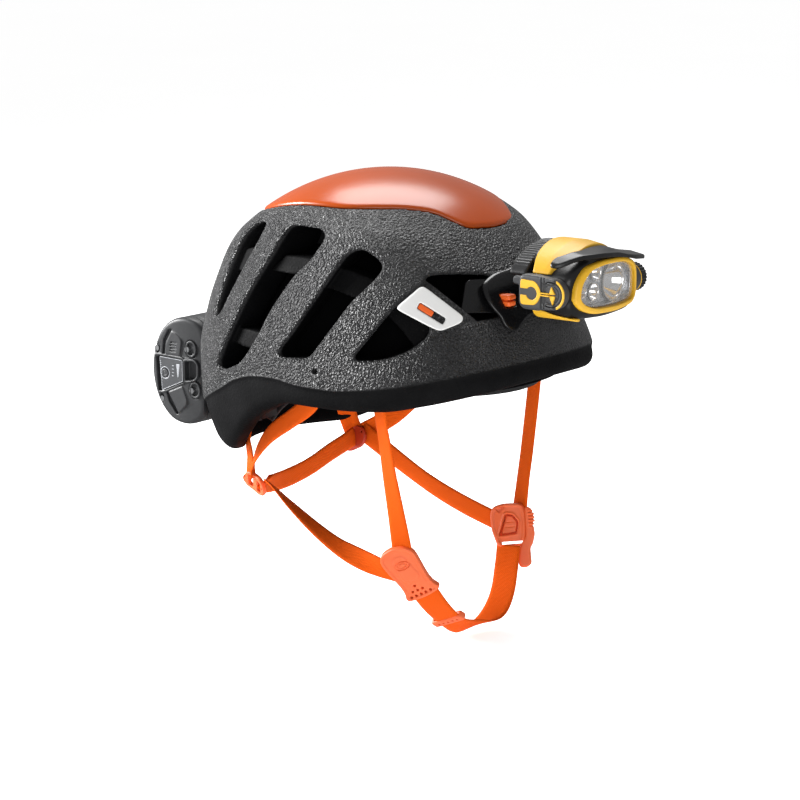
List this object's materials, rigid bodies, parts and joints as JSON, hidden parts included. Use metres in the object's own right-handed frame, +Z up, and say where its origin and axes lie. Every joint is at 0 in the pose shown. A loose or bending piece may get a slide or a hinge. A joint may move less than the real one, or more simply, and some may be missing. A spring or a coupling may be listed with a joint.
{
  "type": "climbing helmet",
  "caption": "Climbing helmet of black bead foam with an orange crown cap, side vents, webbing chin harness, tilting front lamp and rear battery pack.",
  "frame": {"origin": "centre of the headband ring, where the head sits", "axes": "+X forward over the brim, +Y to the wearer's left, +Z up through the crown"},
  "size_m": [0.3497, 0.22, 0.3029],
  "materials": {
    "foam": "moulded bead foam, leathery grain",
    "cap_orange": "satin gloss hard cap",
    "liner": "dense bead foam",
    "band_black": "moulded strip",
    "pad_cloth": "knitted cover over foam",
    "webbing": "woven webbing",
    "fittings": "satin moulded",
    "clip_white": "moulded",
    "tab_orange": "moulded",
    "lamp_black": "fine moulded texture",
    "lamp_yellow": "satin moulded",
    "arm_grey": "fine moulded texture",
    "sink": "anodised black",
    "lens": "clear polycarbonate",
    "reflector": "vacuum metallised",
    "chips": "phosphor",
    "board": "solder mask",
    "knob_rubber": "ribbed",
    "pack_grey": "fine moulded texture",
    "steel": "zinc plated",
    "cells": "shrink sleeve",
    "label_grey": "smooth"
  },
  "bodies": {
    "helmet": {"bracket_arm_left": "arm_grey", "bracket_arm_right": "arm_grey", "bracket_screws": "steel", "buckle_frame": "fittings", "buckle_tongue": "fittings", "chin_guide": "fittings", "chin_strap": "webbing", "cradle_guides": "band_black", "crown_insert": "liner", "crown_pad": "pad_cloth", "foam_shell": "foam", "front_headband": "band_black", "front_pad": "pad_cloth", "front_strap_left": "webbing", "front_strap_right": "webbing", "headband_hangers": "band_black", "lamp_bracket": "lamp_black", "nape_strap": "webbing", "pack_bracket": "pack_grey", "rear_riser_left": "webbing", "rear_riser_right": "webbing", "rear_strap_left": "webbing", "rear_strap_right": "webbing", "side_pad_left": "pad_cloth", "side_pad_right": "pad_cloth", "side_riser_left": "webbing", "side_riser_right": "webbing", "strap_adjuster_left": "fittings", "strap_adjuster_right": "fittings", "strap_anchors": "band_black", "top_cap": "cap_orange"},
    "lamp": {"lamp_housing": "lamp_black", "lamp_top_cover": "lamp_yellow", "heat_sink": "sink", "lamp_bezel": "lamp_yellow", "lamp_lens": "lens", "main_reflector": "reflector", "side_reflectors": "reflector", "light_sources": "chips", "lamp_circuit_board": "board", "tilt_pivots": "lamp_black"},
    "knob": {"lamp_knob": "knob_rubber"},
    "latch_right": {"bracket_latch_right": "tab_orange"},
    "latch_left": {"bracket_latch_left": "tab_orange"},
    "clip_right": {"side_clip_right": "clip_white"},
    "clip_left": {"side_clip_left": "clip_white"},
    "tab_right": {"clip_tab_right": "tab_orange"},
    "tab_left": {"clip_tab_left": "tab_orange"},
    "cradle": {"nape_cradle": "band_black", "nape_pad": "pad_cloth"},
    "slider": {"chin_slider": "fittings"},
    "buckle_press": {"buckle_button": "fittings"},
    "pack": {"pack_body": "pack_grey", "battery_cells": "cells", "pack_end_cap_right": "pack_grey", "pack_end_cap_left": "pack_grey", "pack_screws": "steel", "pack_label_panel": "label_grey", "pack_cable_inlet": "pack_grey"},
    "gauge": {"gauge_button": "label_grey"}
  },
  "joints": [
    {"name": "lamp_tilt", "type": "hinge", "parent": "helmet", "child": "lamp", "pos_m": [0.15, 0, 0.0655], "axis": [0, 1, 0], "range_deg": [-5, 30]},
    {"name": "knob_turn", "type": "hinge", "parent": "lamp", "child": "knob", "pos_m": [0.15, 0.047, 0.0655], "axis": [0, 1, 0], "range_deg": [0, 120]},
    {"name": "latch_right_press", "type": "slide", "parent": "helmet", "child": "latch_right", "axis": [-1, 0, 0], "range_m": [0, 0.002], "stiffness_N_per_m": 400},
    {"name": "latch_left_press", "type": "slide", "parent": "helmet", "child": "latch_left", "axis": [-1, 0, 0], "range_m": [0, 0.002], "stiffness_N_per_m": 400},
    {"name": "clip_right_lift", "type": "hinge", "parent": "helmet", "child": "clip_right", "pos_m": [0.06594, -0.07706, 0.06015], "axis": [-0.3922, -0.6584, -0.6424], "range_deg": [0, 12], "stiffness_Nm_per_rad": 0.3},
    {"name": "clip_left_lift", "type": "hinge", "parent": "helmet", "child": "clip_left", "pos_m": [0.06594, 0.07706, 0.06015], "axis": [0.3922, -0.6584, 0.6424], "range_deg": [0, 12], "stiffness_Nm_per_rad": 0.3},
    {"name": "tab_right_slide", "type": "slide", "parent": "clip_right", "child": "tab_right", "axis": [0.7974, 0.3427, -0.4966], "range_m": [0, 0.0065]},
    {"name": "tab_left_slide", "type": "slide", "parent": "clip_left", "child": "tab_left", "axis": [0.7974, -0.3427, -0.4966], "range_m": [0, 0.0065]},
    {"name": "cradle_fit", "type": "slide", "parent": "helmet", "child": "cradle", "axis": [1, 0, 0], "range_m": [0, 0.012]},
    {"name": "chin_slide", "type": "slide", "parent": "helmet", "child": "slider", "axis": [0.0197, 0.7879, -0.6155], "range_m": [-0.006, 0.006]},
    {"name": "buckle_release", "type": "slide", "parent": "helmet", "child": "buckle_press", "axis": [-0.038, -0.9068, 0.4199], "range_m": [0, 0.0015], "stiffness_N_per_m": 400},
    {"name": "pack_slide", "type": "slide", "parent": "helmet", "child": "pack", "axis": [0, 0, 1], "range_m": [0, 0.03]},
    {"name": "gauge_press", "type": "slide", "parent": "pack", "child": "gauge", "axis": [0, 1, 0], "range_m": [0, 0.001], "stiffness_N_per_m": 400}
  ]
}
